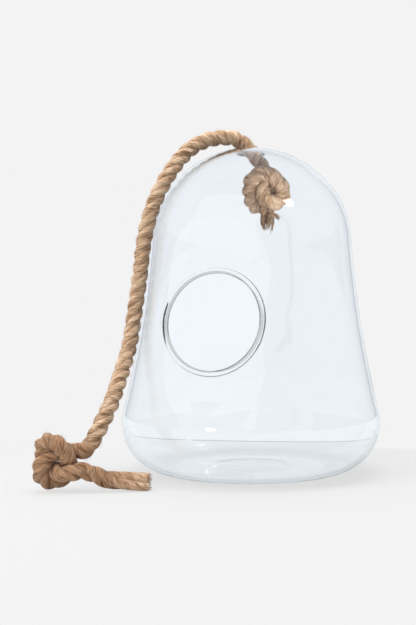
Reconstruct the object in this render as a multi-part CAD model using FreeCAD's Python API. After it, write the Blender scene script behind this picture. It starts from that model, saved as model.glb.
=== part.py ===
import FreeCAD, Part
import math
import os

Vector = FreeCAD.Vector

# A hand-blown glass bell that hangs from, or stands with, a thick three-strand rope.
# The bell is closed at the foot, has one round opening low on its front and a small
# hole in its crown. The rope goes through the crown. A stopper knot keeps it from
# pulling out, and a second knot closes its outer end.
# Millimetres. The foot stands on z = 0, the bell turns about z, and the front is -y.

# The bell's outline, from the foot to the crown: arcs that run into each other.
# Each lean is the wall's angle to the vertical where one arc hands over to the next.
wall = 2.6
foot_radius = 58.0
punt_radius = 34.0
punt_rise = 3.4
sweep_radius = 51.0
sweep_turn = 11.5
corner_radius = 39.0
flank_lean = 13.9
flare_radius = 777.0
waist_lean = 4.0
shoulder_radius = 71.0
shoulder_lean = 42.3

# The round opening in the front. The wall round it is drawn in to a flat ring, and the
# ring's edge is melted to a bead.
opening_radius = 35.0
opening_height = 116.5
opening_azimuth = 21.0
opening_tilt = 10.8
bead_radius = 2.25
ring_land = 0.8
dish_radius = 40.0
dish_bend = 66.0

# The turned shapes round the opening have their seam this far round its axis, clear of the
# places where the dish runs out into the flared wall.
opening_seam = 90.0

# The crown's hole for the rope, and its melted edge.
crown_hole_radius = 9.5
crown_hole_edge = 0.9

# The rope. In a knot it is drawn a little thinner.
rope_diameter = 12.0
knot_squeeze_share = 0.92
corner_reach_share = 0.45

# The rope's way from the stopper knot, up through the crown, over the shoulder and down
# to the outer knot: x, y and z as shares of the bell's height.
rope_route_shares = [
    (0.0312, 0.0, 0.9505),
    (-0.0200, -0.0020, 1.0296),
    (-0.1118, -0.0260, 1.0312),
    (-0.1877, -0.0640, 0.9924),
    (-0.2496, -0.1158, 0.9026),
    (-0.2955, -0.1370, 0.8027),
    (-0.3215, -0.1178, 0.7029),
    (-0.3323, -0.1098, 0.5990),
    (-0.3494, -0.1078, 0.4872),
    (-0.3587, -0.1358, 0.3942),
    (-0.3784, -0.2000, 0.3096),
    (-0.4000, -0.2840, 0.2170),
    (-0.4412, -0.3220, 0.1336),
]

# Where each knot's middle lies from the rope's arrival, and where and which way the rope
# leaves the middle again: shares of the rope's diameter. The spin turns the whole knot
# about its across line, and the hand makes it a left or a right knot.
stopper_drop_shares = (0.42, 0.0, -1.53)
stopper_exit_shares = (0.02, -0.1, -1.62)
stopper_exit_way = (0.0, 0.0, -1.0)
stopper_across = (0.819, 0.0, 0.574)
stopper_spin = 180.0
stopper_hand = -1
stopper_point_count = 32
end_knot_drop_shares = (-1.5, -1.2, -1.75)
end_knot_exit_shares = (1.6, -0.05, 0.05)
end_knot_exit_way = (0.9, 0.15, -0.4)
end_knot_across = (1.0, 0.4, 0.2)
end_knot_spin = 0.0
end_knot_hand = -1
end_knot_point_count = 33

# A loose knot before it is drawn tight, in rope diameters.
lobe_share = 1.6
weave_share = 0.8
lift_share = 0.88
open_turn = 0.35
loose_points = 60
lead_share = 0.7

# Drawing a knot tight, in rope diameters: the distance between two points of the line,
# the sharpest bend, and how near two strands may come. Points nearer than the neighbour
# share along the rope may come closer than that.
step_share = 0.5
bend_share = 0.75
strand_gap_share = 1.0
neighbour_share = 1.7
bend_push = 0.8
strand_push = 0.7
ease_push = 0.1
lead_count = 3
tighten_stages = 14
tighten_passes = 120
settle_passes = 4

# The frayed tip inside the bell and the cut tail outside it.
fray_length = 16.5
fray_radius = 7.2
fray_tip_radius = 3.2
fray_swell_share = 0.45
fray_full_share = 0.8
fray_lean_share = 0.08
tail_length = 38.0
tail_diameter = 13.0
tail_piece_share = 0.35

# How far a tool runs past the glass it cuts.
overrun = 5.0


# The bell

def outline_arcs():
    """The half outline's arcs: radius, heading at its end in degrees, and the side it turns to."""
    return [
        (sweep_radius, sweep_turn, 1),
        (corner_radius, 90 + flank_lean, 1),
        (flare_radius, 90 + waist_lean, -1),
        (shoulder_radius, 90 + shoulder_lean, 1),
    ]


def arc_step(start, radius, side, heading, next_heading):
    """The middle, end and centre of an arc that leaves start on one heading and ends on another."""
    here = math.radians(heading)
    centre = (start[0] - side * radius * math.sin(here), start[1] + side * radius * math.cos(here))
    spots = []
    for angle in (0.5 * (heading + next_heading), next_heading):
        turn = math.radians(angle)
        spots.append((centre[0] + side * radius * math.sin(turn), centre[1] - side * radius * math.cos(turn)))
    return spots[0], spots[1], centre


def outline_steps(inset):
    """Each arc of the outline, set in by a wall or by nothing: start, middle, end and centre."""
    steps = []
    start = (foot_radius, inset)
    heading = 0
    for radius, next_heading, side in outline_arcs():
        middle, end, centre = arc_step(start, radius - side * inset, side, heading, next_heading)
        steps.append((start, middle, end, centre))
        start = end
        heading = next_heading
    crown_radius = start[0] / math.sin(math.radians(heading))
    middle, end, centre = arc_step(start, crown_radius, 1, heading, 180)
    steps.append((start, middle, (0, end[1]), centre))
    return steps


def in_plane(spot):
    return Vector(spot[0], 0, spot[1])


def punt_height(radius):
    """How high the domed underside stands at a radius inside the foot."""
    sphere = (punt_radius ** 2 + punt_rise ** 2) / (2 * punt_rise)
    return punt_rise - sphere + math.sqrt(sphere ** 2 - radius ** 2)


def bell_body(inset):
    """The bell's solid of revolution: its outer form, or its cavity when set in by the wall."""
    steps = outline_steps(inset)
    floor_centre = Vector(0, 0, punt_rise + inset)
    floor_middle = Vector(0.5 * punt_radius, 0, punt_height(0.5 * punt_radius) + inset)
    floor_edge = Vector(punt_radius, 0, inset)
    edges = [Part.Arc(floor_centre, floor_middle, floor_edge).toShape()]
    edges.append(Part.LineSegment(floor_edge, in_plane(steps[0][0])).toShape())
    for start, middle, end, centre in steps:
        edges.append(Part.Arc(in_plane(start), in_plane(middle), in_plane(end)).toShape())
    crown = in_plane(steps[-1][2])
    edges.append(Part.LineSegment(crown, floor_centre).toShape())
    return Part.Face(Part.Wire(edges)).revolve(Vector(0, 0, 0), Vector(0, 0, 1), 360)


def crown_height():
    return outline_steps(0)[-1][2][1]


def flank_radius(height):
    """The bell's outer radius at a height on its flared flank."""
    centre = outline_steps(0)[2][3]
    return centre[0] - math.sqrt(flare_radius ** 2 - (height - centre[1]) ** 2)


def bead_ring_radius():
    return opening_radius + bead_radius


def opening_normal():
    azimuth = math.radians(opening_azimuth)
    tilt = math.radians(opening_tilt)
    level = math.cos(tilt)
    return Vector(-math.sin(azimuth) * level, -math.cos(azimuth) * level, math.sin(tilt))


def opening_centre():
    """The middle of the flat ring: its left and right edges lie flush in the bell's wall."""
    radius = flank_radius(opening_height)
    reach = math.sqrt(radius ** 2 - bead_ring_radius() ** 2)
    azimuth = math.radians(opening_azimuth)
    return Vector(-math.sin(azimuth) * reach, -math.cos(azimuth) * reach, opening_height)


def set_in_opening(shape):
    """Turns a shape made about z at the origin onto the opening's own axis."""
    turn = FreeCAD.Rotation(Vector(0, 0, 1), opening_normal())
    turn = turn.multiply(FreeCAD.Rotation(Vector(0, 0, 1), opening_seam))
    shape.Placement = FreeCAD.Placement(opening_centre(), turn)
    return shape


def dish_cutter(inset):
    """What is taken off the bell round the opening: all that stands out past a flat ring
    whose rim curves up to meet the wall."""
    land = bead_ring_radius() + bead_radius + ring_land
    radius = dish_radius + inset
    bend = math.radians(dish_bend)
    depth = Vector(0, 0, -inset)
    foot = Vector(land, 0, 0) + depth
    middle = Vector(land + radius * math.sin(0.5 * bend), 0, radius * (1 - math.cos(0.5 * bend))) + depth
    lip = Vector(land + radius * math.sin(bend), 0, radius * (1 - math.cos(bend))) + depth
    top = Vector(lip.x, 0, lip.z + dish_radius)
    edges = [
        Part.LineSegment(depth, foot).toShape(),
        Part.Arc(foot, middle, lip).toShape(),
        Part.LineSegment(lip, top).toShape(),
        Part.LineSegment(top, Vector(0, 0, top.z)).toShape(),
        Part.LineSegment(Vector(0, 0, top.z), depth).toShape(),
    ]
    cutter = Part.Face(Part.Wire(edges)).revolve(Vector(0, 0, 0), Vector(0, 0, 1), 360)
    return set_in_opening(cutter)


def rim_bead():
    """The melted bead that rounds the opening's edge."""
    bead = Part.makeTorus(bead_ring_radius(), bead_radius, Vector(0, 0, -0.5 * wall), Vector(0, 0, 1))
    return set_in_opening(bead)


def opening_bore():
    bore = Part.makeCylinder(bead_ring_radius(), 2 * overrun + wall, Vector(0, 0, -wall - overrun))
    return set_in_opening(bore)


def crown_bore():
    """The rope's hole, with its upper edge softened by the flame."""
    top = crown_height()
    hole = Part.makeCylinder(crown_hole_radius, wall + 2 * overrun, Vector(0, 0, top - wall - overrun))
    mouth = Part.makeCone(crown_hole_radius, crown_hole_radius + crown_hole_edge + overrun,
                          crown_hole_edge + overrun, Vector(0, 0, top - 2 * crown_hole_edge))
    return hole.fuse(mouth)


def make_glass_bell():
    outer = bell_body(0).cut(dish_cutter(0))
    cavity = bell_body(wall).cut(dish_cutter(wall))
    shell = outer.cut(cavity)
    shell = shell.cut(opening_bore())
    shell = shell.fuse(rim_bead())
    return shell.cut(crown_bore()).removeSplitter()


# The rope

def route_points():
    height = crown_height()
    return [Vector(x * height, y * height, z * height) for x, y, z in rope_route_shares]


def rounded_path(points):
    """Straight runs joined by tangent arcs, each as large as its two runs allow."""
    edges = []
    radii = []
    last = points[0]
    for before, corner, after in zip(points, points[1:], points[2:]):
        back = before - corner
        ahead = after - corner
        reach = corner_reach_share * min(back.Length, ahead.Length)
        turn = math.pi - back.getAngle(ahead)
        radius = reach / math.tan(0.5 * turn)
        radii.append(radius)
        back.normalize()
        ahead.normalize()
        enter = corner + back * reach
        leave = corner + ahead * reach
        inward = back + ahead
        inward.normalize()
        middle = corner + inward * (radius / math.cos(0.5 * turn) - radius)
        edges.append(Part.LineSegment(last, enter).toShape())
        edges.append(Part.Arc(enter, middle, leave).toShape())
        last = leave
    edges.append(Part.LineSegment(last, points[-1]).toShape())
    return Part.Wire(edges), radii


def tube(name, points, diameter):
    """A round tube along a rounded path. Prints its bends, and its volume against the plain sum."""
    path, radii = rounded_path(points)
    section = Part.Circle(points[0], points[1] - points[0], 0.5 * diameter)
    solid = path.makePipeShell([Part.Wire([section.toShape()])], True, False)
    if solid.Volume < 0:
        solid.reverse()
    plain = 0.25 * math.pi * diameter ** 2 * path.Length
    print(name, "length", round(path.Length, 1), "bends", [round(r, 1) for r in radii],
          "volume share", round(solid.Volume / plain, 4))
    return solid


def make_rope_run():
    return tube("rope_run", route_points(), rope_diameter)


# The knots. Each is an overhand knot: it is laid loose along a trefoil, then drawn tight
# until its strands lie against each other. All of this is in rope diameters.

def add(a, b, scale):
    return [a[0] + scale * b[0], a[1] + scale * b[1], a[2] + scale * b[2]]


def gap(a, b):
    return math.sqrt((a[0] - b[0]) ** 2 + (a[1] - b[1]) ** 2 + (a[2] - b[2]) ** 2)


def loose_loop(spin, hand, across):
    """An open trefoil about the way across, turned by spin degrees. The hand is 1 or -1."""
    u = Vector(*across).normalize()
    v = Vector(0, 0, 1) - u * u.z
    v = FreeCAD.Rotation(u, spin).multVec(v.normalize())
    w = u.cross(v)
    loop = []
    for k in range(loose_points + 1):
        t = open_turn + k * (2 * math.pi - 2 * open_turn) / loose_points
        reach = lobe_share + weave_share * math.cos(3 * t)
        spot = u * (reach * math.cos(2 * t)) + v * (reach * math.sin(2 * t))
        spot = spot + w * (hand * lift_share * math.sin(3 * t))
        loop.append([spot.x, spot.y, spot.z])
    return loop


def evenly(points, count):
    """The same line with evenly spaced points."""
    along = [0]
    for a, b in zip(points, points[1:]):
        along.append(along[-1] + gap(a, b))
    out = []
    k = 0
    for i in range(count):
        s = along[-1] * i / (count - 1)
        while k < len(points) - 2 and along[k + 1] < s:
            k += 1
        share = (s - along[k]) / (along[k + 1] - along[k])
        out.append([a + share * (b - a) for a, b in zip(points[k], points[k + 1])])
    return out


def part_pair(points, loose, i, j, wanted, strength):
    """Moves two points to a wanted distance apart. A held point stays put, and the other one
    then moves the whole way."""
    movers = loose[i] + loose[j]
    if movers:
        away = gap(points[i], points[j])
        push = strength * (wanted - away) / away / movers
        step = [push * (a - b) for a, b in zip(points[j], points[i])]
        points[j] = add(points[j], step, loose[j])
        points[i] = add(points[i], step, -loose[i])


def settle(points, loose, run, low):
    """One pass of drawing tight: even runs, no sharp bend, no strand through another."""
    last = len(points) - 1
    skip = math.ceil(neighbour_share / run)
    straight = 2 * run * math.sqrt(max(0, 1 - (0.5 * run / bend_share) ** 2))
    for i in list(range(0, last, 2)) + list(range(1, last, 2)):
        part_pair(points, loose, i, i + 1, run, 1)
    for i in range(last - 1):
        if gap(points[i], points[i + 2]) < straight:
            part_pair(points, loose, i, i + 2, straight, bend_push)
    for i in range(last + 1):
        for j in range(i + skip, last + 1):
            if gap(points[i], points[j]) < strand_gap_share:
                part_pair(points, loose, i, j, strand_gap_share, strand_push)
    for k in range(last + 1):
        if loose[k]:
            points[k][2] = max(points[k][2], low)


def ease(points, loose):
    """Takes a little of every bend out of the loose line."""
    eased = [p for p in points]
    for i in range(1, len(points) - 1):
        if loose[i]:
            bow = [a + b - 2 * p for a, b, p in zip(points[i - 1], points[i + 1], points[i])]
            eased[i] = add(points[i], bow, ease_push)
    return eased


def draw_tight(loop, start, start_way, end, end_way, count, low):
    """Ties the loop between two held ends and shortens it, stage by stage, to its tight length."""
    points = [start, add(start, start_way, lead_share)] + loop + [add(end, end_way, -lead_share), end]
    points = evenly(points, count)
    loose_run = gap(points[0], points[1])
    held = lead_count + 2
    points = points[:1] * lead_count + points + points[-1:] * lead_count
    loose = [0] * held + [1] * (len(points) - 2 * held) + [0] * held
    for stage in range(tighten_stages):
        run = loose_run + (step_share - loose_run) * stage / (tighten_stages - 1)
        points[:held] = [add(start, start_way, run * (k - lead_count)) for k in range(held)]
        points[-held:] = [add(end, end_way, run * (k - 1)) for k in range(held)]
        for sweep in range(tighten_passes):
            points = ease(points, loose)
            for again in range(settle_passes):
                settle(points, loose, run, low)
    return points[lead_count:-lead_count]


def least_gap(points):
    """The nearest that two strands of a knot come, leaving out points that are close along it."""
    skip = math.ceil(neighbour_share / step_share)
    pairs = [(i, j) for i in range(len(points)) for j in range(i + skip, len(points))]
    return min(gap(points[i], points[j]) for i, j in pairs)


def knot_points(start, start_way, drop, leave, leave_way, loop, count, floor):
    """A tight knot's centreline in the bell's own frame, from where the rope enters it."""
    centre = start + Vector(*drop) * rope_diameter
    entry = [-share for share in drop]
    out = Vector(*leave_way).normalize()
    low = (floor - centre.z) / rope_diameter
    tight = draw_tight(loop, entry, list(start_way), list(leave), list(out), count, low)
    print("knot: least gap between strands in diameters", round(least_gap(tight), 3))
    return [centre + Vector(*p) * rope_diameter for p in tight]


def stopper_line():
    route = route_points()
    way = (route[0] - route[1]).normalize()
    loop = loose_loop(stopper_spin, stopper_hand, stopper_across)
    return knot_points(route[0], way, stopper_drop_shares, stopper_exit_shares, stopper_exit_way,
                       loop, stopper_point_count, 0)


def end_knot_line():
    route = route_points()
    way = (route[-1] - route[-2]).normalize()
    loop = loose_loop(end_knot_spin, end_knot_hand, end_knot_across)
    resting = 0.5 * knot_squeeze_share * rope_diameter
    return knot_points(route[-1], way, end_knot_drop_shares, end_knot_exit_shares, end_knot_exit_way,
                       loop, end_knot_point_count, resting)


def make_knot(name, line):
    return tube(name, line, knot_squeeze_share * rope_diameter)


def make_frayed_end(line):
    """The loosened tip under the stopper knot: it swells, then draws in."""
    start = line[-1]
    way = (line[-1] - line[-2]).normalize()
    side = Vector(1, 0, 0)
    stations = [
        (0, 0.5 * knot_squeeze_share * rope_diameter),
        (fray_swell_share, fray_radius),
        (fray_full_share, fray_radius),
        (1, fray_tip_radius),
    ]
    rings = []
    for share, radius in stations:
        spot = start + way * (share * fray_length) + side * (share * share * fray_lean_share * fray_length)
        rings.append(Part.Wire([Part.Circle(spot, way, radius).toShape()]))
    return Part.makeLoft(rings, True)


def make_end_tail(line):
    """The cut tail: it leaves the outer knot and comes down to lie on the table."""
    start = line[-1]
    way = (line[-1] - line[-2]).normalize()
    level = Vector(way.x, way.y, 0).normalize()
    piece = tail_piece_share * tail_length
    first = start + way * piece
    rest = Vector(first.x, first.y, 0.5 * tail_diameter) + level * piece
    return tube("end_tail", [start, first, rest, rest + level * piece], tail_diameter)


def save(name, shape):
    shape.exportStep(os.path.join("parts", name + ".step"))
    print(name, "solids", len(shape.Solids), "valid", shape.isValid(), "volume", round(shape.Volume, 1))


os.makedirs("parts", exist_ok=True)
stopper = stopper_line()
outer = end_knot_line()
print("bell height", round(crown_height(), 2))
save("glass_bell", make_glass_bell())
save("rope_run", make_rope_run())
save("stopper_knot", make_knot("stopper_knot", stopper))
save("frayed_end", make_frayed_end(stopper))
save("end_knot", make_knot("end_knot", outer))
save("end_tail", make_end_tail(outer))
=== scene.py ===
# %% [markdown]
# # A glass bell on a jute rope
# This vase is a bell of clear blown glass with a closed foot. A round opening in its front takes
# stems and water, and a thick rope goes through a hole in its crown. The measured solids come from
# the frame. We could start from a plain cylinder, but the frame already knows every size, so we
# load it first and keep its box to compare with.

# %% Load the frame
import math
import random

import bmesh
import bpy
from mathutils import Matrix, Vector, noise


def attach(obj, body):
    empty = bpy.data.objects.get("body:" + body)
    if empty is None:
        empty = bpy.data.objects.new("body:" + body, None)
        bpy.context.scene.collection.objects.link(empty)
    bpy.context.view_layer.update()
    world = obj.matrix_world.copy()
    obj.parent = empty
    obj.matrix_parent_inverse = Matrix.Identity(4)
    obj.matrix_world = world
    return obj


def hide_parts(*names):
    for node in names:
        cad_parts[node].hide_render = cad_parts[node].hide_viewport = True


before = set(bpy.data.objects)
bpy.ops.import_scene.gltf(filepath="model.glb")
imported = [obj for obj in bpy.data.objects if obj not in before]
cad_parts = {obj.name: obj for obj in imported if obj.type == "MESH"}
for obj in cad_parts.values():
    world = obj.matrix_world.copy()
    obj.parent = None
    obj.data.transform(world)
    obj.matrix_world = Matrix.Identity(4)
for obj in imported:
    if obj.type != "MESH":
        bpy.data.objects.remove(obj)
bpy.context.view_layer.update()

# %% [markdown]
# ## The camera
# The picture was taken level, from the height of the bell's middle, with the bell right of the
# frame's centre. We could turn the camera towards the bell, but then its upright lines would lean.
# A level camera with a small sideways shift keeps them straight.

# %% Camera
camera_distance = 0.8
camera_height = 0.1228
focal_length = 59.44
camera_shift = -0.0688

bpy.ops.object.camera_add(location=(0, -camera_distance, camera_height),
                          rotation=(math.radians(90), 0, 0))
camera = bpy.context.object
camera.data.lens = focal_length
camera.data.shift_x = camera_shift
bpy.context.scene.camera = camera

# %% [markdown]
# ## The rope's line
# A rope is laid along one smooth line. We could draw it from straight pieces, but a rope has no
# corners. So listed points, up through the crown, over the shoulder and down to the table, steer
# a NURBS spline, and the points of that spline are read back as a plain list.

# %% Rope sizes and route
rope_diameter = 0.012
route = [
    (0.0078, 0.0, 0.2376),
    (-0.0050, -0.0005, 0.2574),
    (-0.0280, -0.0065, 0.2578),
    (-0.0469, -0.0160, 0.2481),
    (-0.0624, -0.0290, 0.2257),
    (-0.0739, -0.0343, 0.2007),
    (-0.0804, -0.0295, 0.1757),
    (-0.0831, -0.0275, 0.1498),
    (-0.0874, -0.0270, 0.1218),
    (-0.0897, -0.0340, 0.0986),
    (-0.0946, -0.0500, 0.0774),
    (-0.1000, -0.0710, 0.0543),
    (-0.1103, -0.0805, 0.0334),
]
station_step = 0.0009
spline_resolution = 24


def add(a, b, scale):
    return [a[0] + scale * b[0], a[1] + scale * b[1], a[2] + scale * b[2]]


def gap(a, b):
    return math.sqrt((a[0] - b[0]) ** 2 + (a[1] - b[1]) ** 2 + (a[2] - b[2]) ** 2)


def unit(a):
    length = gap(a, (0, 0, 0))
    return [x / length for x in a]


def length_of(line):
    return sum(gap(a, b) for a, b in zip(line, line[1:]))


def evenly(points, count):
    """The same line with evenly spaced points."""
    along = [0]
    for a, b in zip(points, points[1:]):
        along.append(along[-1] + gap(a, b))
    out = []
    k = 0
    for i in range(count):
        s = along[-1] * i / (count - 1)
        while k < len(points) - 2 and along[k + 1] < s:
            k += 1
        share = (s - along[k]) / (along[k + 1] - along[k])
        out.append([a + share * (b - a) for a, b in zip(points[k], points[k + 1])])
    return out


def read_spline(points):
    """The points of the smooth line that these control points steer, evenly spaced."""
    curve = bpy.data.curves.new("line", "CURVE")
    curve.dimensions = "3D"
    curve.resolution_u = spline_resolution
    spline = curve.splines.new("NURBS")
    spline.points.add(len(points) - 1)
    for control, place in zip(spline.points, points):
        control.co = (*place, 1)
    spline.order_u = 3
    spline.use_endpoint_u = True
    holder = bpy.data.objects.new("line", curve)
    mesh = bpy.data.meshes.new_from_object(holder)
    line = [list(v.co) for v in mesh.vertices]
    bpy.data.meshes.remove(mesh)
    bpy.data.objects.remove(holder)
    bpy.data.curves.remove(curve)
    return evenly(line, max(4, round(length_of(line) / station_step)))


run_line = read_spline(route)

# %% [markdown]
# ## Tying the two knots
# Both knots are plain overhand knots. We could draw one by eye, but its strands would run through
# each other. So each knot is tied as by hand: a loose trefoil loop is laid between the two rope
# ends, then drawn tight step by step. Each pass keeps the runs even, keeps the bends gentle and
# pushes strands apart that come too near. They may come to 0.86 of a diameter, because real strands
# bed into each other. All of it is in rope diameters.

# %% Knot tying
lobe_share = 1.6
weave_share = 0.8
lift_share = 0.88
open_turn = 0.35
loose_points = 60
lead_share = 0.7
step_share = 0.5
bend_share = 0.75
strand_gap_share = 0.86
neighbour_share = 1.7
bend_push = 0.8
strand_push = 0.7
ease_push = 0.1
lead_count = 3
tighten_stages = 14
tighten_passes = 120
settle_passes = 4


def loose_loop(side, hand, across):
    """An open trefoil about the way across. The side and the hand are 1 or -1."""
    u = unit(across)
    v = [side * x for x in unit(add((0, 0, 1), u, -u[2]))]
    w = [u[1] * v[2] - u[2] * v[1], u[2] * v[0] - u[0] * v[2], u[0] * v[1] - u[1] * v[0]]
    loop = []
    for k in range(loose_points + 1):
        t = open_turn + k * (2 * math.pi - 2 * open_turn) / loose_points
        reach = lobe_share + weave_share * math.cos(3 * t)
        spot = add(add((0, 0, 0), u, reach * math.cos(2 * t)), v, reach * math.sin(2 * t))
        loop.append(add(spot, w, hand * lift_share * math.sin(3 * t)))
    return loop


def part_pair(points, loose, i, j, wanted, strength):
    """Moves two points to a wanted distance apart. A held point stays put, and the other one
    then moves the whole way."""
    movers = loose[i] + loose[j]
    if movers:
        away = gap(points[i], points[j])
        push = strength * (wanted - away) / away / movers
        step = [push * (a - b) for a, b in zip(points[j], points[i])]
        points[j] = add(points[j], step, loose[j])
        points[i] = add(points[i], step, -loose[i])


def settle(points, loose, run, low):
    """One pass of drawing tight: even runs, no sharp bend, no strand through another."""
    last = len(points) - 1
    skip = math.ceil(neighbour_share / run)
    straight = 2 * run * math.sqrt(max(0, 1 - (0.5 * run / bend_share) ** 2))
    for i in list(range(0, last, 2)) + list(range(1, last, 2)):
        part_pair(points, loose, i, i + 1, run, 1)
    for i in range(last - 1):
        if gap(points[i], points[i + 2]) < straight:
            part_pair(points, loose, i, i + 2, straight, bend_push)
    for i in range(last + 1):
        for j in range(i + skip, last + 1):
            if gap(points[i], points[j]) < strand_gap_share:
                part_pair(points, loose, i, j, strand_gap_share, strand_push)
    for k in range(last + 1):
        if loose[k]:
            points[k][2] = max(points[k][2], low)


def ease(points, loose):
    """Takes a little of every bend out of the loose line."""
    eased = list(points)
    for i in range(1, len(points) - 1):
        if loose[i]:
            bow = [a + b - 2 * p for a, b, p in zip(points[i - 1], points[i + 1], points[i])]
            eased[i] = add(points[i], bow, ease_push)
    return eased


def draw_tight(loop, start, start_way, end, end_way, count, low):
    """Ties the loop between two held ends and shortens it, stage by stage, to its tight length."""
    points = [start, add(start, start_way, lead_share)] + loop + [add(end, end_way, -lead_share), end]
    points = evenly(points, count)
    loose_run = gap(points[0], points[1])
    held = lead_count + 2
    points = points[:1] * lead_count + points + points[-1:] * lead_count
    loose = [0] * held + [1] * (len(points) - 2 * held) + [0] * held
    for stage in range(tighten_stages):
        run = loose_run + (step_share - loose_run) * stage / (tighten_stages - 1)
        points[:held] = [add(start, start_way, run * (k - lead_count)) for k in range(held)]
        points[-held:] = [add(end, end_way, run * (k - 1)) for k in range(held)]
        for sweep in range(tighten_passes):
            points = ease(points, loose)
            for again in range(settle_passes):
                settle(points, loose, run, low)
    return points[lead_count:-lead_count]


def tie_knot(start, start_way, drop, leave, leave_way, loop, count, floor):
    """A tight knot's centreline in metres, from where the rope enters it."""
    centre = add(start, drop, rope_diameter)
    entry = [-share for share in drop]
    low = (floor - centre[2]) / rope_diameter
    tight = draw_tight(loop, entry, unit(start_way), list(leave), unit(leave_way), count, low)
    return [add(centre, p, rope_diameter) for p in tight]


# %% [markdown]
# The stopper knot sits inside the crown and carries the bell when it hangs. The outer knot lies on
# the table, and a short tail comes out of it and comes down to rest. The tail gets a line of its
# own. All four lines then join into one rope, from the frayed tip to the cut end. A knot's drop goes
# from where the rope enters it to its middle, and its leave from there to where the rope comes out.

# %% Tie both knots and lay the tail
knot_squeeze_share = 0.92
stopper_points = 32
stopper_drop = (0.42, 0.0, -1.53)
stopper_leave = (0.02, -0.1, -1.62)
stopper_leave_way = (0.0, 0.0, -1.0)
stopper_across = (0.819, 0.0, 0.574)
outer_points = 30
outer_drop = (-1.5, -1.2, -1.75)
outer_leave = (1.6, -0.05, 0.05)
outer_leave_way = (0.9, 0.15, -0.4)
outer_across = (1.0, 0.4, 0.2)
outer_floor = 0.5 * knot_squeeze_share * rope_diameter
tail_length = 0.038
tail_diameter = 0.013
tail_piece = 0.35 * tail_length

stopper = tie_knot(route[0], add(route[0], route[1], -1), stopper_drop, stopper_leave,
                   stopper_leave_way, loose_loop(-1, -1, stopper_across), stopper_points, 0)
outer = tie_knot(route[-1], add(route[-1], route[-2], -1), outer_drop, outer_leave,
                 outer_leave_way, loose_loop(1, -1, outer_across), outer_points, outer_floor)

tail_way = unit(add(outer[-1], outer[-2], -1))
level = unit((tail_way[0], tail_way[1], 0))
first = add(outer[-1], tail_way, tail_piece)
rest = add((first[0], first[1], 0.5 * tail_diameter), level, tail_piece)
tail = [outer[-1], first, rest, add(rest, level, tail_piece)]

lines = {
    "stopper_knot": read_spline(stopper[::-1]),
    "rope_run": run_line,
    "end_knot": read_spline(outer),
    "end_tail": read_spline(tail),
}
for name, line in lines.items():
    print(name, "line", round(length_of(line), 4), "m in", len(line), "stations")

# %% [markdown]
# ## Laying three strands
# Three strands are twisted round each other, one full turn in about two and a half diameters, and
# each strand is itself twisted from yarns the other way, which is what holds a rope together. We
# could wind plain tubes, but the yarns are what the eye reads as jute. So each strand's section is
# a ring of soft ridges that turns against the lay, and a frame that never spins by itself is
# carried along the line, so that only the lay twists the strands.

# %% Stations along the whole rope
lay_length = 0.0295
strand_radius = 0.0031
strand_offset = 0.0029
yarn_count = 7
yarn_ridge_share = 0.075
yarn_turn_length = 0.030
strand_sides = 28
tail_unlay_share = 0.8
tail_loosen_share = 0.12
tail_loosen_pace = 1.7


def soft_step(value):
    """0 up to 0, 1 from 1 on, and a smooth way between."""
    share = min(1.0, max(0.0, value))
    return share * share * (3 - 2 * share)


def joined_stations():
    """Every station of the rope with the piece that it belongs to, from the frayed tip outwards."""
    places = []
    spans = {}
    for name in lines:
        begin = max(0, len(places) - 1)
        places += lines[name] if not places else lines[name][1:]
        spans[name] = (begin, len(places) - 1)
    return [Vector(p) for p in places], spans


places, spans = joined_stations()
headings = []
for i in range(len(places)):
    ahead = places[min(i + 1, len(places) - 1)]
    headings.append((ahead - places[max(i - 1, 0)]).normalized())

sides = [headings[0].orthogonal().normalized()]
for i in range(1, len(places)):
    carried = headings[i - 1].rotation_difference(headings[i]) @ sides[-1]
    sides.append((carried - headings[i] * carried.dot(headings[i])).normalized())

turns = [0.0]
loosened = []
tail_start, tail_end = spans["end_tail"]
for i in range(len(places)):
    loosened.append(soft_step(tail_loosen_pace * (i - tail_start) / (tail_end - tail_start)))
for i in range(1, len(places)):
    step = (places[i] - places[i - 1]).length / lay_length
    turns.append(turns[-1] + 2 * math.pi * step * (1 - tail_unlay_share * loosened[i]))

# %% [markdown]
# Each strand is a tube that winds round the rope's line. Seven low ridges stand for its yarns, and a
# slow noise makes it thicker and thinner. What would sink into the table is pressed flat on it.

# %% Strand surfaces
table_gap = 0.0001
wander_pace = 140
wander_apart = 7.0
wander_share = 0.05
ridge_middle = 0.64
fine_turns = 3
fine_pace = 500
fine_apart = 5.0
fine_share = 0.03


def strand_centre(i, strand):
    """Where one strand's own middle lies at a station."""
    angle = turns[i] + 2 * math.pi * strand / 3
    across = headings[i].cross(sides[i])
    reach = strand_offset * (1 + tail_loosen_share * loosened[i])
    return places[i] + (sides[i] * math.cos(angle) + across * math.sin(angle)) * reach


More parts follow.
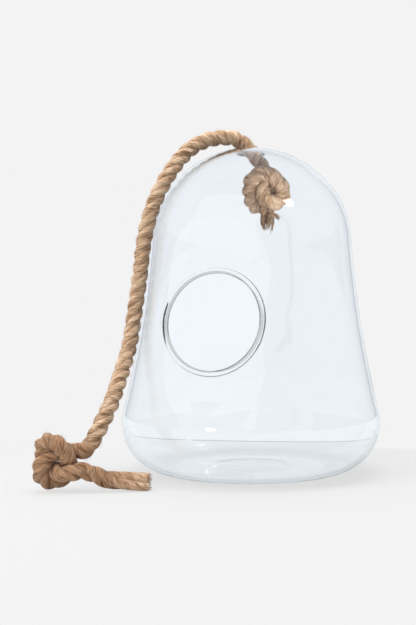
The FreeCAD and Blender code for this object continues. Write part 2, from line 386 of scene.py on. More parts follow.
def strand_rings(first_station, last_station, strand):
    """The rings of points round one strand, with the distance along the rope in metres."""
    rings = []
    for i in range(first_station, last_station + 1):
        here = strand_centre(i, strand)
        before = strand_centre(max(i - 1, 0), strand)
        after = strand_centre(min(i + 1, len(places) - 1), strand)
        along = (after - before).normalized()
        out = here - places[i]
        out = (out - along * out.dot(along)).normalized()
        across = along.cross(out)
        distance = i * station_step
        wander = noise.noise(Vector((distance * wander_pace, strand * wander_apart, 0)))
        size = strand_radius * (1 + wander_share * wander + tail_loosen_share * loosened[i])
        ring = []
        for k in range(strand_sides):
            angle = 2 * math.pi * k / strand_sides
            yarn = 0.5 * yarn_count * (angle + 2 * math.pi * distance / yarn_turn_length + strand)
            ridge = yarn_ridge_share * (abs(math.cos(yarn)) - ridge_middle)
            spot = Vector((angle * fine_turns, distance * fine_pace, strand * fine_apart))
            fine = fine_share * noise.noise(spot)
            reach = size * (1 + ridge + fine)
            spot = here + (out * math.cos(angle) + across * math.sin(angle)) * reach
            spot.z = max(spot.z, table_gap)
            ring.append(spot)
        rings.append((distance, ring))
    return rings


def tube_mesh(bundle):
    """Vertices, faces and the pattern's coordinates of closed tubes made of rings. A tube is a
    list of (distance, ring of points)."""
    verts, faces, marks = [], [], []
    for tube in bundle:
        count = len(tube[0][1])
        base = len(verts)
        for distance, ring in tube:
            verts += ring
        scale = 1 / (2 * math.pi * strand_radius)
        for row in range(len(tube) - 1):
            low, high = tube[row][0] * scale, tube[row + 1][0] * scale
            for k in range(count):
                a = base + row * count + k
                b = base + row * count + (k + 1) % count
                faces.append((a, b, b + count, a + count))
                left, right = k / count, (k + 1) / count
                marks += [(left, low), (right, low), (right, high), (left, high)]
        faces.append(tuple(base + k for k in reversed(range(count))))
        marks += [(k / count, tube[0][0] * scale) for k in reversed(range(count))]
        top = base + (len(tube) - 1) * count
        faces.append(tuple(top + k for k in range(count)))
        marks += [(k / count, tube[-1][0] * scale) for k in range(count)]
    return verts, faces, marks


def new_piece(name, verts, edges, faces):
    """A new mesh object in the scene."""
    mesh = bpy.data.meshes.new(name)
    mesh.from_pydata(verts, edges, faces)
    piece = bpy.data.objects.new(name, mesh)
    bpy.context.scene.collection.objects.link(piece)
    return piece


def piece_from(name, verts, faces, marks):
    """A smooth-shaded piece with its pattern coordinates."""
    piece = new_piece(name, [tuple(v) for v in verts], [], faces)
    layer = piece.data.uv_layers.new(name="along_strand")
    layer.data.foreach_set("uv", [x for mark in marks for x in mark])
    piece.data.polygons.foreach_set("use_smooth", [True] * len(faces))
    piece.data.update()
    return piece


# %% [markdown]
# ## Loose fibres
# Jute is hairy: short fibres stand off the strands everywhere, and at both ends the rope comes
# apart into yarns. We could leave that to the material, but then the rope's edge would be as clean
# as a cable's. So each fibre is a thin tapered tube of three sides, sown on the strands by a seeded
# random draw, and the ends get thicker yarns of their own.

# %% Fibres
fibre_radius = 0.00005
fibre_sides = 3
fibre_parts = 3
fibre_spread = 0.9
fibre_root_share = 0.95
fibre_lean = 1.6
fibre_side_lean = 0.8
fibre_lengths = (0.0012, 0.0038)
fibre_curl = 0.35
fibre_rise = (0.25, 1.0)
fibre_floor = 0.0002
taper_share = 0.8


def tapered(points, radius, side_count, distance=0.0):
    """A thin closed tube along points that tapers to a fifth of its radius at its tip."""
    rings = []
    for i, point in enumerate(points):
        ahead = points[min(i + 1, len(points) - 1)] - points[max(i - 1, 0)]
        u = ahead.orthogonal().normalized()
        v = ahead.normalized().cross(u)
        reach = radius * (1 - taper_share * (i / (len(points) - 1)) ** 2)
        ring = []
        for k in range(side_count):
            angle = 2 * math.pi * k / side_count
            ring.append(point + (u * math.cos(angle) + v * math.sin(angle)) * reach)
        rings.append((distance + i * station_step, ring))
    return rings


def sown_fibres(first_station, last_station, per_metre, seed):
    """Short hairs that stand off the strands between two stations."""
    draw = random.Random(seed)
    count = round(per_metre * (last_station - first_station) * station_step)
    hairs = []
    for k in range(count):
        i = draw.randint(first_station, last_station)
        strand = draw.randrange(3)
        here = strand_centre(i, strand)
        angle = draw.gauss(0, fibre_spread)
        out = (here - places[i]).normalized()
        across = headings[i].cross(out)
        normal = out * math.cos(angle) + across * math.sin(angle)
        root = here + normal * strand_radius * fibre_root_share
        lean = headings[i] * draw.uniform(-fibre_lean, fibre_lean)
        lean = lean + across * draw.uniform(-fibre_side_lean, fibre_side_lean)
        length = draw.uniform(*fibre_lengths)
        curl = Vector((draw.gauss(0, 1), draw.gauss(0, 1), draw.gauss(0, 1))) * fibre_curl
        way = (normal * draw.uniform(*fibre_rise) + lean).normalized()
        points = [root]
        for part in range(fibre_parts):
            bent = (way + curl * (part / fibre_parts)).normalized()
            points.append(points[-1] + bent * length / fibre_parts)
        if min(p.z for p in points) > fibre_floor:
            hairs.append(tapered(points, fibre_radius, fibre_sides, i * station_step))
    return hairs


# %% [markdown]
# The rope is one length. Each stretch is a piece of its own, as in the measured model, so that each
# takes the place of its own plain solid.

# %% Rope pieces
hairs_per_metre = 3200
tail_hairs_per_metre = 4200


def rope_piece(node, per_metre, seed):
    """One stretch of the rope: its three strands and its loose fibres."""
    begin, end = spans[node]
    bundle = [strand_rings(begin, end, strand) for strand in range(3)]
    bundle += sown_fibres(begin, end, per_metre, seed)
    piece = piece_from(node + "_strands", *tube_mesh(bundle))
    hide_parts(node)
    print(piece.name, "faces", len(piece.data.polygons))
    return piece


run_piece = rope_piece("rope_run", hairs_per_metre, 11)
stopper_piece = rope_piece("stopper_knot", hairs_per_metre, 12)
outer_piece = rope_piece("end_knot", hairs_per_metre, 13)
tail_piece_object = rope_piece("end_tail", tail_hairs_per_metre, 14)

# %% [markdown]
# ## The frayed tip
# Under the stopper knot the rope is not whipped, so its yarns open into a brush, with one tuft
# that stands off to the right. We could use a hair system, but it would not be part of the mesh.
# So each yarn is a tapered tube that starts in the rope's section, bows outwards and then hangs in.
# The draws are seeded, but noise_vector isn't, so these yarns differ by up to 1 mm between runs.

# %% Frayed tip
fray_length = 0.0175
fray_start = 0.002
fray_bow = 0.35
fray_close = 0.25
fray_shake = 0.0009
bunch_count = 9
bunch_yarns = 9
bunch_parts = 8
bunch_reaches = (0.0012, 0.0032, 0.0032)
bunch_width = 0.0016
bunch_radii = (0.00035, 0.00065)
tuft_yarns = 22
tuft_parts = 5
tuft_lengths = (0.0045, 0.0078)
tuft_droop = 0.0022
tuft_shake = 0.0008
tuft_radii = (0.0003, 0.0006)
pattern_step = 0.01


def frayed_yarns(seed):
    """The yarns that hang in bunches under the knot, and the tuft that stands off to the right."""
    draw = random.Random(seed)
    top = places[0]
    down = -headings[0]
    right = Vector((1, 0, 0))
    back = Vector((0, 1, 0))
    yarns = []
    for bunch in range(bunch_count):
        turn = 2 * math.pi * bunch / bunch_count + draw.uniform(-0.3, 0.3)
        bunch_length = fray_length * draw.uniform(0.60, 1.0)
        twist = draw.uniform(2.0, 4.0)
        bend = right * draw.uniform(-0.0030, 0.0014) + back * draw.uniform(-0.0015, 0.0015)
        for k in range(bunch_yarns):
            around = draw.uniform(0, 2 * math.pi)
            within = bunch_width * math.sqrt(draw.random())
            length = bunch_length * draw.uniform(0.85, 1.06)
            points = []
            for part in range(bunch_parts + 1):
                t = part / bunch_parts
                bow = 1 + fray_bow * math.sin(math.pi * t) - fray_close * t
                reach = bunch_reaches[bunch % 3] * bow
                middle = right * math.cos(turn) * reach + back * math.sin(turn) * reach
                splay = within * (1 - 0.35 * t) * (1 + 0.5 * t * t)
                turned = around + twist * t
                yarn = right * math.cos(turned) * splay + back * math.sin(turned) * splay
                place = Vector((bunch * 7 + k * 1.7, t * 3, seed))
                shake = noise.noise_vector(place) * fray_shake * t
                hang = top + down * (t * length - fray_start)
                points.append(hang + middle + yarn + bend * t * t + shake)
            distance = (bunch * bunch_yarns + k) * pattern_step
            yarns.append(tapered(points, draw.uniform(*bunch_radii), 6, distance))
    for k in range(tuft_yarns):
        start = top + down * draw.uniform(0.000, 0.003) + right * draw.uniform(0.0015, 0.0040)
        start = start + back * draw.uniform(-0.0035, 0.0005)
        way = right * draw.uniform(0.9, 1.3) + down * draw.uniform(-0.25, 0.35)
        way = (way + back * draw.uniform(-0.4, 0.1)).normalized()
        length = draw.uniform(*tuft_lengths)
        points = []
        for part in range(tuft_parts + 1):
            t = part / tuft_parts
            shake = noise.noise_vector(Vector((k * 5.3, t * 3, seed + 4))) * tuft_shake * t
            points.append(start + way * length * t + down * tuft_droop * t * t + shake)
        yarns.append(tapered(points, draw.uniform(*tuft_radii), 5, k * pattern_step))
    return yarns


frayed_piece = piece_from("frayed_end_yarns", *tube_mesh(frayed_yarns(21)))
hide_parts("frayed_end")

# %% [markdown]
# ## The cut end of the tail
# The tail was cut with a blade, so its yarns end in a ragged face. Short stubs of yarn of uneven
# length stand out of the three strands' ends.

# %% Cut yarns
cut_count = 26
cut_root = 0.0015
cut_within_share = 0.92
cut_lengths = (0.0002, 0.0030)
cut_spread = 0.0008
cut_radii = (0.00025, 0.0005)
cut_floor = 0.0006


def cut_yarns(seed):
    """Stubs of uneven length that stand out of the tail's three strands."""
    draw = random.Random(seed)
    last = len(places) - 1
    way = headings[last]
    yarns = []
    for strand in range(3):
        middle = strand_centre(last, strand)
        for k in range(cut_count):
            angle = draw.uniform(0, 2 * math.pi)
            reach = strand_radius * cut_within_share * math.sqrt(draw.random())
            out = sides[last] * math.cos(angle) + way.cross(sides[last]) * math.sin(angle)
            root = middle + out * reach - way * cut_root
            length = cut_root + draw.uniform(*cut_lengths)
            spread = out * draw.uniform(0.0, cut_spread)
            points = [root + way * length * t + spread * t * t for t in (0, 0.35, 0.7, 1)]
            if min(p.z for p in points) > cut_floor:
                yarns.append(tapered(points, draw.uniform(*cut_radii), 6, k * pattern_step))
    return yarns


cut_piece = piece_from("end_tail_cut_yarns", *tube_mesh(cut_yarns(31)))

# %% [markdown]
# ## Attaching the rope
# The free run is a real cord with a real length. All the rope's pieces are attached to one body,
# the rope.

# %% Attach the rope's pieces
rope_pieces = [run_piece, stopper_piece, outer_piece, tail_piece_object, frayed_piece, cut_piece]
for piece in rope_pieces:
    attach(piece, "rope")

# %% [markdown]
# ## The glass bell
# The bell is blown into a mould, so it is round: one outline, spun about its axis. The outline is
# a chain of arcs that run into each other, from the dome under the foot to the crown's hole. We
# could model it from a cylinder by eye, but the arcs give the exact bell. It is spun so that one
# row of faces lies dead centre behind the opening.

# %% Outline
wall = 0.0026
foot_radius = 0.058
punt_radius = 0.034
punt_rise = 0.0034
crown_edge_radius = 0.01055
crown_edge_bulge = 0.00100
outline_arcs = [
    (0.051, 11.5, 1, 4),
    (0.039, 103.9, 1, 26),
    (0.777, 94.0, -1, 44),
    (0.071, 132.3, 1, 18),
]
crown_steps = 24
punt_steps = 8


def outline():
    """The bell's outer outline as (radius, height), and the flare's centre and first row."""
    sphere = (punt_radius ** 2 + punt_rise ** 2) / (2 * punt_rise)
    points = []
    for k in range(punt_steps):
        r = punt_radius * k / punt_steps
        points.append((r, punt_rise - sphere + math.sqrt(sphere ** 2 - r ** 2)))
    points += [(punt_radius, 0.0), (0.5 * (punt_radius + foot_radius), 0.0), (foot_radius, 0.0)]
    heading = 0.0
    flare = None
    for radius, next_heading, side, steps in outline_arcs:
        start = points[-1]
        here = math.radians(heading)
        centre = (start[0] - side * radius * math.sin(here), start[1] + side * radius * math.cos(here))
        if side < 0:
            flare = (centre, radius, len(points) - 1, steps)
        for k in range(1, steps + 1):
            turn = math.radians(heading + (next_heading - heading) * k / steps)
            points.append((centre[0] + side * radius * math.sin(turn),
                           centre[1] - side * radius * math.cos(turn)))
        heading = next_heading
    start = points[-1]
    here = math.radians(heading)
    radius = start[0] / math.sin(here)
    height = start[1] + radius * math.cos(here)
    last = math.pi - math.asin(crown_edge_radius / radius)
    for k in range(1, crown_steps + 1):
        turn = here + (last - here) * k / crown_steps
        points.append((radius * math.sin(turn), height - radius * math.cos(turn)))
    return points, flare


bell_outline, (flare_centre, flare_radius, flare_row, flare_steps) = outline()
print("outline points", len(bell_outline), "widest", round(2 * max(p[0] for p in bell_outline), 4))

# %% [markdown]
# The outline is laid down as a chain of edges at the back of the bell and spun round its axis. We
# could stretch a ready-made sphere, but then the flank and the foot would not keep their own radii.

# %% Spin the bell
opening_radius = 0.035
opening_height = 0.1165
opening_azimuth = math.radians(21.0)
opening_tilt = math.radians(10.8)
bead_radius = 0.00225
spin_steps = 160
merge_distance = 0.00002

opening_turn = math.atan2(-math.cos(opening_azimuth), -math.sin(opening_azimuth))
seam_turn = opening_turn + math.pi


def edit(piece):
    """Goes into edit mode on one piece with nothing selected, and hands back its mesh."""
    bpy.ops.object.select_all(action="DESELECT")
    bpy.context.view_layer.objects.active = piece
    piece.select_set(True)
    bpy.ops.object.mode_set(mode="EDIT")
    bpy.ops.mesh.select_all(action="DESELECT")
    return bmesh.from_edit_mesh(piece.data)


def leave_edit():
    bpy.ops.object.mode_set(mode="OBJECT")


def mend_skin():
    """Merges the points that fall together and turns every face of the skin outwards."""
    bpy.ops.mesh.select_all(action="SELECT")
    bpy.ops.mesh.remove_doubles(threshold=merge_distance)
    bpy.ops.mesh.normals_make_consistent(inside=False)
    leave_edit()


bell = new_piece("glass_bell_clear",
                 [(r * math.cos(seam_turn), r * math.sin(seam_turn), z) for r, z in bell_outline],
                 [(k, k + 1) for k in range(len(bell_outline) - 1)], [])
edit(bell)
bpy.ops.mesh.select_all(action="SELECT")
bpy.ops.mesh.spin(steps=spin_steps, angle=2 * math.pi, center=(0, 0, 0), axis=(0, 0, 1))
mend_skin()
print("spun bell", len(bell.data.vertices), "vertices")

# %% [markdown]
# ## The opening's patch
# The glassmaker heats a round patch of the wall, opens it and presses it flat. We could cut it with
# a boolean, but that leaves a hard edge that clear glass shows at once. So a window of faces is
# deleted, a circle is added where the ring lies, and the two are bridged with many cuts. Every new
# point is then set on the bell's own surface and drawn in towards the ring's plane with a soft
# minimum, which blends the dish into the wall.

# %% Opening frame
ring_out = Vector((-math.sin(opening_azimuth) * math.cos(opening_tilt),
                   -math.cos(opening_azimuth) * math.cos(opening_tilt),
                   math.sin(opening_tilt)))
ring_right = Vector((0, 0, 1)).cross(ring_out).normalized()
ring_up = ring_out.cross(ring_right)
bead_ring_radius = opening_radius + bead_radius
wall_join_radius = bead_ring_radius + 0.82 * bead_radius


def flare_at(height):
    """The bell's outer radius at a height on its flared flank."""
    return flare_centre[0] - math.sqrt(flare_radius ** 2 - (height - flare_centre[1]) ** 2)


ring_reach = math.sqrt(flare_at(opening_height) ** 2 - bead_ring_radius ** 2)
ring_centre = Vector((-math.sin(opening_azimuth) * ring_reach,
                      -math.cos(opening_azimuth) * ring_reach, opening_height))


def to_ring(point):
    """A point's places to the ring's right, up it and out of its plane."""
    away = point - ring_centre
    return away.dot(ring_right), away.dot(ring_up), away.dot(ring_out)


def from_ring(right, up, out):
    return ring_centre + ring_right * right + ring_up * up + ring_out * out


# %% [markdown]
# The dish is the form that the hot wall takes round the ring: flat next to the bead, then bending
# outwards in an arc. Where it meets the bell's own wall the two are blended, because soft glass
# keeps no crease.

# %% Dish
ring_land = 0.0008
dish_radius = 0.040
dish_bend = math.radians(66.0)
soft_near = 0.0003
soft_far = 0.0060
soft_width = 0.016
search_low = -0.06
search_high = 0.03
search_steps = 40


def dish_height(reach):
    """How far the dish's surface stands out of the ring's plane at a distance from its middle."""
    past = reach - (bead_ring_radius + bead_radius + ring_land)
    if past <= 0:
        return 0.0
    lip = dish_radius * math.sin(dish_bend)
    if past < lip:
        return dish_radius - math.sqrt(dish_radius ** 2 - past ** 2)
    return dish_radius * (1 - math.cos(dish_bend)) + (past - lip) * math.tan(dish_bend)


def drawn_in(right, up, out):
    """The out place of the wall after the dish: the lower of wall and dish, softly blended."""
    reach = math.hypot(right, up)
    share = soft_step((reach - wall_join_radius) / soft_width)
    soft = soft_near + (soft_far - soft_near) * share
    dish = dish_height(reach)
    blend = max(soft - abs(out - dish), 0.0)
    return min(out, dish) - blend * blend / (4 * soft)


def wall_out(right, up):
    """Where the bell's flank lies in front of or behind the ring's plane."""
    low, high = search_low, search_high
    for step in range(search_steps):
        middle = 0.5 * (low + high)
        spot = from_ring(right, up, middle)
        if math.hypot(spot.x, spot.y) < flare_at(spot.z):
            low = middle
        else:
            high = middle
    return 0.5 * (low + high)


# %% [markdown]
# Now the window is cut. The circle gets as many points as the window's edge has, so that the bridge
# runs in clean rows from one to the other. The two rims are bridged in the same way later on.

# %% Cut the window and bridge the ring in
window_columns = 22
window_margin_rows = 1
bridge_cuts = 16
crown_zone_radius = 0.015
crown_zone_height = 0.2


def bridge_edges(near_crown, cuts):
    """Joins the two loops of open edges at the crown or at the opening with a band of faces."""
    work = bmesh.from_edit_mesh(bell.data)
    for edge in work.edges:
        if edge.is_boundary or edge.is_wire:
            middle = (edge.verts[0].co + edge.verts[1].co) / 2
            in_zone = middle.xy.length < crown_zone_radius and middle.z > crown_zone_height
            if in_zone == near_crown:
                edge.select = True
    bmesh.update_edit_mesh(bell.data)
    bpy.ops.mesh.bridge_edge_loops(number_cuts=cuts, interpolation="LINEAR")
    leave_edit()


window_half = (window_columns + 0.01) * 2 * math.pi / spin_steps
window_low = bell_outline[flare_row + window_margin_rows][1]
window_high = bell_outline[flare_row + flare_steps - window_margin_rows][1]
work = edit(bell)
window_faces = 0
for face in work.faces:
    middle = face.calc_center_median()
    turn = math.atan2(middle.y, middle.x) - opening_turn
    turn = (turn + math.pi) % (2 * math.pi) - math.pi
    if abs(turn) < window_half and window_low < middle.z < window_high:
        face.select = True
        window_faces += 1
bmesh.update_edit_mesh(bell.data)
bpy.ops.mesh.delete(type="FACE")
window_rows = window_faces // (2 * window_columns)
ring_count = 2 * (2 * window_columns + window_rows)
leave_edit()

kept = len(bell.data.vertices)
edit(bell)
ring_turn = ring_out.to_track_quat("Z", "Y").to_euler()
bpy.ops.mesh.primitive_circle_add(vertices=ring_count, radius=wall_join_radius, fill_type="NOTHING",
                                  location=ring_centre, rotation=ring_turn)
bpy.ops.mesh.select_all(action="DESELECT")
bridge_edges(False, bridge_cuts)
print("window", window_faces, "faces,", ring_count, "points in the ring,", kept, "kept")

# %% [markdown]
# Left and right of the ring the round wall falls away behind the ring's plane. Melted glass flows
# up to the bead there, so the wall is lifted to meet it and eases off within a few millimetres.

# %% Set the patch on the wall and draw it in
lift_width = 0.007
patch_depth = 0.055
patch_reach = 0.11


def lifted(right, up):
    """How far the wall is drawn forward to meet the bead."""
    reach = math.hypot(right, up)
    share = soft_step((reach - wall_join_radius) / lift_width)
    edge_right = right * wall_join_radius / reach
    edge_up = up * wall_join_radius / reach
    edge = drawn_in(edge_right, edge_up, wall_out(edge_right, edge_up))
    return max(0.0, -edge) * (1 - share)


for vertex in bell.data.vertices:
    right, up, out = to_ring(vertex.co)
    if out >= -patch_depth and math.hypot(right, up) <= patch_reach:
        if vertex.index >= kept:
            out = wall_out(right, up) + lifted(right, up)
        vertex.co = from_ring(right, up, drawn_in(right, up, out))
bell.data.update()
edit(bell)
mend_skin()
print("patched bell", len(bell.data.vertices), "vertices")

# %% [markdown]
# ## The wall, the bead and the crown's edge
# The skin gets its thickness from a Solidify modifier without a rim. The two rims are then bridged,
# because the flame melts them into round edges: a thick bead round the opening and a thin
# one round the rope's hole.

# %% Wall
thick = bell.modifiers.new("wall", "SOLIDIFY")
thick.thickness = wall
thick.offset = -1
thick.use_even_offset = True
thick.use_rim = False
bpy.ops.object.modifier_apply(modifier="wall")

# %% [markdown]
# The band between the two rims is swung about the ring's own circle until it closes as a bead. The
# crown's edge only bulges a little into the hole.

# %% Bridge the two rims
bead_cuts = 15
crown_cuts = 7

first_new = len(bell.data.vertices)
edit(bell)
bridge_edges(False, bead_cuts)
rim_points = {}
for vertex in bell.data.vertices[first_new:]:
    right, up, out = to_ring(vertex.co)
    key = round(math.atan2(up, right) * ring_count / (2 * math.pi)) % ring_count
    rim_points.setdefault(key, []).append(vertex.index)
for members in rim_points.values():
    heights = [to_ring(bell.data.vertices[i].co)[2] for i in members]
    spread = (max(heights) - min(heights)) / (len(members) - 1)
    top = max(heights) + spread
    bottom = min(heights) - spread
    reach = wall_join_radius - bead_ring_radius
    begin = math.atan2(top + 0.5 * wall, reach)
    finish = math.atan2(bottom + 0.5 * wall, reach) + 2 * math.pi
    for i in members:
        right, up, out = to_ring(bell.data.vertices[i].co)
        share = (top - out) / (top - bottom)
        swing = begin + (finish - begin) * share
        turn = math.atan2(up, right)
        radius = bead_ring_radius + bead_radius * math.cos(swing)
        bell.data.vertices[i].co = from_ring(radius * math.cos(turn), radius * math.sin(turn),
                                             bead_radius * math.sin(swing) - 0.5 * wall)

first_new = len(bell.data.vertices)
edit(bell)
bridge_edges(True, crown_cuts)
crown_points = bell.data.vertices[first_new:]
crown_top = max(v.co.z for v in crown_points)
crown_low = min(v.co.z for v in crown_points)
for vertex in crown_points:
    share = (vertex.co.z - crown_low) / (crown_top - crown_low)
    swing = math.pi * (share * (crown_cuts - 1) + 1) / (crown_cuts + 1)
    radius = math.hypot(vertex.co.x, vertex.co.y)
    shrink = (radius - crown_edge_bulge * math.sin(swing)) / radius
    vertex.co.x *= shrink
    vertex.co.y *= shrink

work = edit(bell)
bpy.ops.mesh.select_all(action="SELECT")
bpy.ops.mesh.normals_make_consistent(inside=False)
bpy.ops.mesh.faces_shade_smooth()
open_edges = sum(1 for edge in work.edges if edge.is_boundary)
leave_edit()
print("bell", len(bell.data.vertices), "vertices,", open_edges, "open edges")

# %% [markdown]
# At the ring one looks along the glass and not through it, so its inner half gathers the glass's own
# grey-green. Those faces get a second material. Then the bell takes the place of its plain solid.

# %% Pick out the bead's inner half
inner_reach = bead_ring_radius - 0.22 * bead_radius
inner_depth = 1.1 * bead_radius

for polygon in bell.data.polygons:
    right, up, out = to_ring(polygon.center)
    inside_bead = math.hypot(right, up) < inner_reach and abs(out + 0.5 * wall) < inner_depth
    polygon.material_index = 1 if inside_bead else 0
print("bead faces", sum(polygon.material_index for polygon in bell.data.polygons))

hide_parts("glass_bell")
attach(bell, "bell")

# %% [markdown]
# ## Clear glass
# The glass is clear and polished by the flame, with the faint swell of blown work. We could tint
# it, but the colour in the picture comes from what is seen through it. So the shader is plain glass,
# with a very weak, wide bump for the swell.

# %% Glass material
glass_index = 1.5
swell_scale = 22.0
swell_strength = 0.06
swell_distance = 0.001


def fill(node, values):
    """Sets the values of a node's inputs by their names, and hands the node back."""
    for socket, value in values.items():
        node.inputs[socket].default_value = value
    return node


def join(source, output, target, socket):
    """Links one node's output to another node's input."""
    source.id_data.links.new(source.outputs[output], target.inputs[socket])


def new_material(name):
    material = bpy.data.materials.new(name)
    material.use_nodes = True
    nodes = material.node_tree.nodes
    return material, nodes, nodes["Principled BSDF"]


def add_bump(nodes, height, shader, strength, distance):
    """Turns the noise that stands for height into a bump on the shader."""
    bump = fill(nodes.new("ShaderNodeBump"), {"Strength": strength, "Distance": distance})
    join(height, "Fac", bump, "Height")
    join(bump, "Normal", shader, "Normal")


def clear_glass(name, tone):
    material, nodes, shader = new_material(name)
    fill(shader, {"Base Color": (*tone, 1), "Roughness": 0.0, "IOR": glass_index,
                  "Transmission Weight": 1.0})
    place = nodes.new("ShaderNodeTexCoord")
    swell = fill(nodes.new("ShaderNodeTexNoise"), {"Scale": swell_scale, "Detail": 1.0})
    join(place, "Object", swell, "Vector")
    add_bump(nodes, swell, shader, swell_strength, swell_distance)
    return material


bell.data.materials.append(clear_glass("clear blown glass", (1, 1, 1)))
bell.data.materials.append(clear_glass("thick edge of clear glass", (0.46, 0.51, 0.47)))

# %% [markdown]
# ## Jute
# Jute is dry, dull and uneven: straw to brown fibres lie along each yarn. We could use one brown,
# but the streaks are what make it read as plant fibre. Three noises are stretched along the yarns, in
# the strands' own coordinates. Two mix the colours and one gives the fine relief. The outer knot and
# the tail's first part are darker and browner. That is a painted shade for the lower light they get
# near the table, and it fades in and out along the rope.

# %% Jute material
jute_dark = (0.250, 0.125, 0.060)
jute_mid = (0.800, 0.510, 0.305)
jute_light = (0.990, 0.790, 0.570)
# Painted shade: the outer knot's colour is multiplied by this darker, browner tone for the lower light
# it gets.
painted_knot_shade = (0.64, 0.54, 0.46)
painted_shade_blend = 0.012
painted_shade_tail_share = 0.60
patch_share = 0.34
ramp_dark = 0.41
ramp_light = 0.59
relief_strength = 1.0
relief_distance = 0.0007
yarn_slope = math.atan(2 * math.pi * strand_radius / yarn_turn_length)


def uv_place(nodes):
    place = nodes.new("ShaderNodeUVMap")
    place.uv_map = "along_strand"
    return place


def stretched_noise(nodes, across, along, detail):
    """A noise in the strand's coordinates, long along the yarns."""
    place = uv_place(nodes)
    turn = fill(nodes.new("ShaderNodeMapping"), {"Rotation": (0, 0, yarn_slope)})
    size = fill(nodes.new("ShaderNodeMapping"), {"Scale": (across, along, 1)})
    streaks = fill(nodes.new("ShaderNodeTexNoise"), {"Scale": 1.0, "Detail": detail, "Roughness": 0.6})
    join(place, "UV", turn, "Vector")
    join(turn, "Vector", size, "Vector")
    join(size, "Vector", streaks, "Vector")
    return streaks


def painted_shade_share(nodes):
    """Where the painted shade lies: 1 in the outer knot and the tail's first part, and 0 along the
    rest of the rope.
    """
    split = nodes.new("ShaderNodeSeparateXYZ")
    join(uv_place(nodes), "UV", split, "Vector")
    scale = 1 / (2 * math.pi * strand_radius)
    first, last = spans["end_knot"]
    last += painted_shade_tail_share * (tail_end - tail_start)
    both = nodes.new("ShaderNodeMath")
    both.operation = "MULTIPLY"
    for index, (station, low, high) in enumerate(((first, 0, 1), (last, 1, 0))):
        distance = station * station_step
        end = fill(nodes.new("ShaderNodeMapRange"), {"From Min": (distance - painted_shade_blend) * scale,
                                                     "From Max": (distance + painted_shade_blend) * scale,
                                                     "To Min": low, "To Max": high})
        end.interpolation_type = "SMOOTHSTEP"
        join(split, "Y", end, "Value")
        join(end, "Result", both, index)
    return both


def jute():
    material, nodes, shader = new_material("three-strand jute")
    fill(shader, {"Roughness": 0.9, "Specular IOR Level": 0.25, "Sheen Weight": 0.25,
                  "Sheen Roughness": 0.5})
    streaks = stretched_noise(nodes, 30, 3.2, 6.0)
    patches = stretched_noise(nodes, 4.0, 1.6, 3.0)
    both = fill(nodes.new("ShaderNodeMix"), {"Factor": patch_share})
    ramp = nodes.new("ShaderNodeValToRGB")
    stops = ramp.color_ramp.elements
    stops[0].position, stops[0].color = ramp_dark, (*jute_dark, 1)
    stops[1].position, stops[1].color = ramp_light, (*jute_light, 1)
    stops.new(0.5).color = (*jute_mid, 1)
    join(streaks, "Fac", both, "A")
    join(patches, "Fac", both, "B")
    join(both, "Result", ramp, "Fac")
    # The painted shade darkens the ramp's colour in the outer knot and the tail's first part.
    painted_shade_mix = nodes.new("ShaderNodeMix")
    painted_shade_mix.data_type = "RGBA"
    painted_shade_mix.blend_type = "MULTIPLY"
    fill(painted_shade_mix, {"B": (*painted_knot_shade, 1)})
    join(painted_shade_share(nodes), "Value", painted_shade_mix, "Factor")
    join(ramp, "Color", painted_shade_mix, "A")
    join(painted_shade_mix, "Result", shader, "Base Color")
    relief = stretched_noise(nodes, 60, 6.0, 4.0)
    add_bump(nodes, relief, shader, relief_strength, relief_distance)
    return material


jute_finish = jute()
for piece in rope_pieces:
    piece.data.materials.append(jute_finish)

# %% [markdown]
# ## Table, backdrop and light
# The bell stands on a pale table in front of a pale wall. Seen straight, both are one even pale
# grey, and only the soft shadow shows. Through the glass the table's far edge shows as a fine
# darker line, which is a painted shade on the edge's face.
# Clear glass is drawn by what surrounds it: pale behind, and darker to the sides, so that the
# bell's edges read.

# %% Stage
pale = 0.896
table_tone = 0.72
floor_back = 0.150
edge_slope = -0.132
edge_height = 0.0012
table_half = 3
wall_back = 1.2
wall_half = 0.75
wall_top = 1.1


def stage_plane(name, corners, material):
    plane = new_piece(name, corners, [], [tuple(range(len(corners)))])
    plane.data.materials.append(material)


def pale_material(name, seen_through, plain_share):
    """Even pale grey where the camera looks straight at it, and a given colour through the glass,
    which for the table's edge is a painted shade. The plain share is how much of it takes light and
    shadow."""
    material, nodes, shader = new_material(name)
    links = material.node_tree.links
    fill(shader, {"Base Color": (table_tone, table_tone, table_tone, 1), "Roughness": 1.0,
                  "Specular IOR Level": 0.0})
    path = nodes.new("ShaderNodeLightPath")

    def glow(colour):
        return fill(nodes.new("ShaderNodeEmission"), {"Color": (*colour, 1)}).outputs["Emission"]

    def mixed(share, first, second):
        mix = nodes.new("ShaderNodeMixShader")
        if isinstance(share, float):
            mix.inputs["Fac"].default_value = share
        else:
            links.new(share, mix.inputs["Fac"])
        links.new(first, mix.inputs[1])
        links.new(second, mix.inputs[2])
        return mix.outputs["Shader"]

    bent = nodes.new("ShaderNodeMath")
    bent.operation = "MAXIMUM"
    join(path, "Is Transmission Ray", bent, 0)
    join(path, "Is Glossy Ray", bent, 1)
    plain = shader.outputs["BSDF"]
    straight = mixed(plain_share, glow((pale, pale, pale)), plain)
    through = mixed(plain_share, glow(seen_through), plain)
    direct = mixed(path.outputs["Is Camera Ray"], plain, straight)
    surface = mixed(bent.outputs["Value"], direct, through)
    links.new(surface, nodes["Material Output"].inputs["Surface"])
    return material


left_back = (-table_half, floor_back + edge_slope * -table_half)
right_back = (table_half, floor_back + edge_slope * table_half)

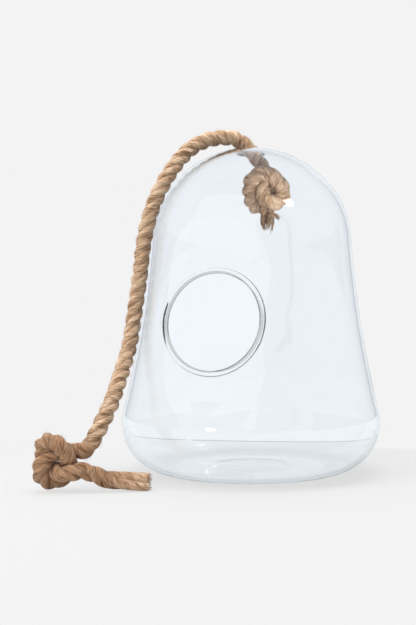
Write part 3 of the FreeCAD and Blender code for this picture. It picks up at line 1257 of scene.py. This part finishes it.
stage_plane("table", [(-table_half, -table_half, 0), (table_half, -table_half, 0),
                      (*right_back, 0), (*left_back, 0)],
            pale_material("pale table", (0.84, 0.89, 0.925), 0.25))
# The table's back edge glows a fixed darker grey through the glass: painted shade on the edge's face.
stage_plane("table_edge", [(*left_back, 0), (*right_back, 0),
                           (*right_back, edge_height), (*left_back, edge_height)],
            pale_material("table edge in painted shade", (0.56, 0.61, 0.64), 0.0))
stage_plane("wall_foot", [(*left_back, 0), (*right_back, 0),
                          (table_half, wall_back, 0), (-table_half, wall_back, 0)],
            pale_material("pale wall foot", (0.90, 0.95, 0.99), 0.0))
stage_plane("backdrop", [(-wall_half, wall_back, 0), (wall_half, wall_back, 0),
                         (wall_half, wall_back, wall_top), (-wall_half, wall_back, wall_top)],
            pale_material("pale wall", (0.89, 0.935, 0.98), 0.0))

# %% [markdown]
# The room is darker in front, where the camera stands, and paler behind. Soft lamps from above and
# from the left shape the rope. Only two of them show in the glass: a large soft box, and a small
# window whose bright spot lies beside the stopper knot, as in the picture.

# %% Light
world = bpy.data.worlds.new("room")
bpy.context.scene.world = world
world.use_nodes = True
room = world.node_tree.nodes
place = room.new("ShaderNodeTexCoord")
parts = room.new("ShaderNodeSeparateXYZ")
depth = fill(room.new("ShaderNodeMapRange"), {"From Min": -0.7, "From Max": 0.5})
tone = room.new("ShaderNodeMix")
tone.data_type = "RGBA"
fill(tone, {"A": (0.20, 0.21, 0.23, 1), "B": (0.58, 0.61, 0.66, 1)})
light = room["Background"]
seen = fill(room.new("ShaderNodeBackground"), {"Color": (pale, pale, pale, 1)})
soften = fill(room.new("ShaderNodeMapRange"), {"To Min": 1.0, "To Max": 0.6})
path = room.new("ShaderNodeLightPath")
pick = room.new("ShaderNodeMixShader")
join(place, "Generated", parts, "Vector")
join(parts, "Y", depth, "Value")
join(depth, "Result", tone, "Factor")
join(tone, "Result", light, "Color")
join(path, "Is Diffuse Ray", soften, "Value")
join(soften, "Result", light, "Strength")
join(path, "Is Camera Ray", pick, "Fac")
join(light, "Background", pick, 1)
join(seen, "Background", pick, 2)
join(pick, "Shader", room["World Output"], "Surface")


def soft_light(name, place, aim, size, power, mirrored):
    """A square soft light. A light that isn't mirrored doesn't show in the glass."""
    bpy.ops.object.light_add(type="AREA", location=place)
    lamp = bpy.context.object
    lamp.name = name
    lamp.data.size = size
    lamp.data.energy = power
    lamp.visible_glossy = mirrored
    lamp.visible_transmission = mirrored
    lamp.rotation_euler = (Vector(aim) - lamp.location).to_track_quat("-Z", "Y").to_euler()


middle_of_bell = (-0.03, 0, 0.12)
soft_light("top light", (0.0, 0.0, 1.25), middle_of_bell, 1.0, 12, False)
soft_light("side light", (-1.2, -0.9, 1.4), middle_of_bell, 0.9, 16, False)
soft_light("soft box", (-1.3, -2.1, 1.1), middle_of_bell, 3.6, 20, True)
soft_light("window light", (0.93, -0.70, 1.22), middle_of_bell, 0.22, 1.8, True)
soft_light("light in the bell", (0.035, -0.05, 0.212), (0.010, 0, 0.218), 0.05, 0.024, False)

bpy.context.scene.view_settings.view_transform = "Standard"
bpy.context.scene.cycles.max_bounces = 24
bpy.context.scene.cycles.transmission_bounces = 24
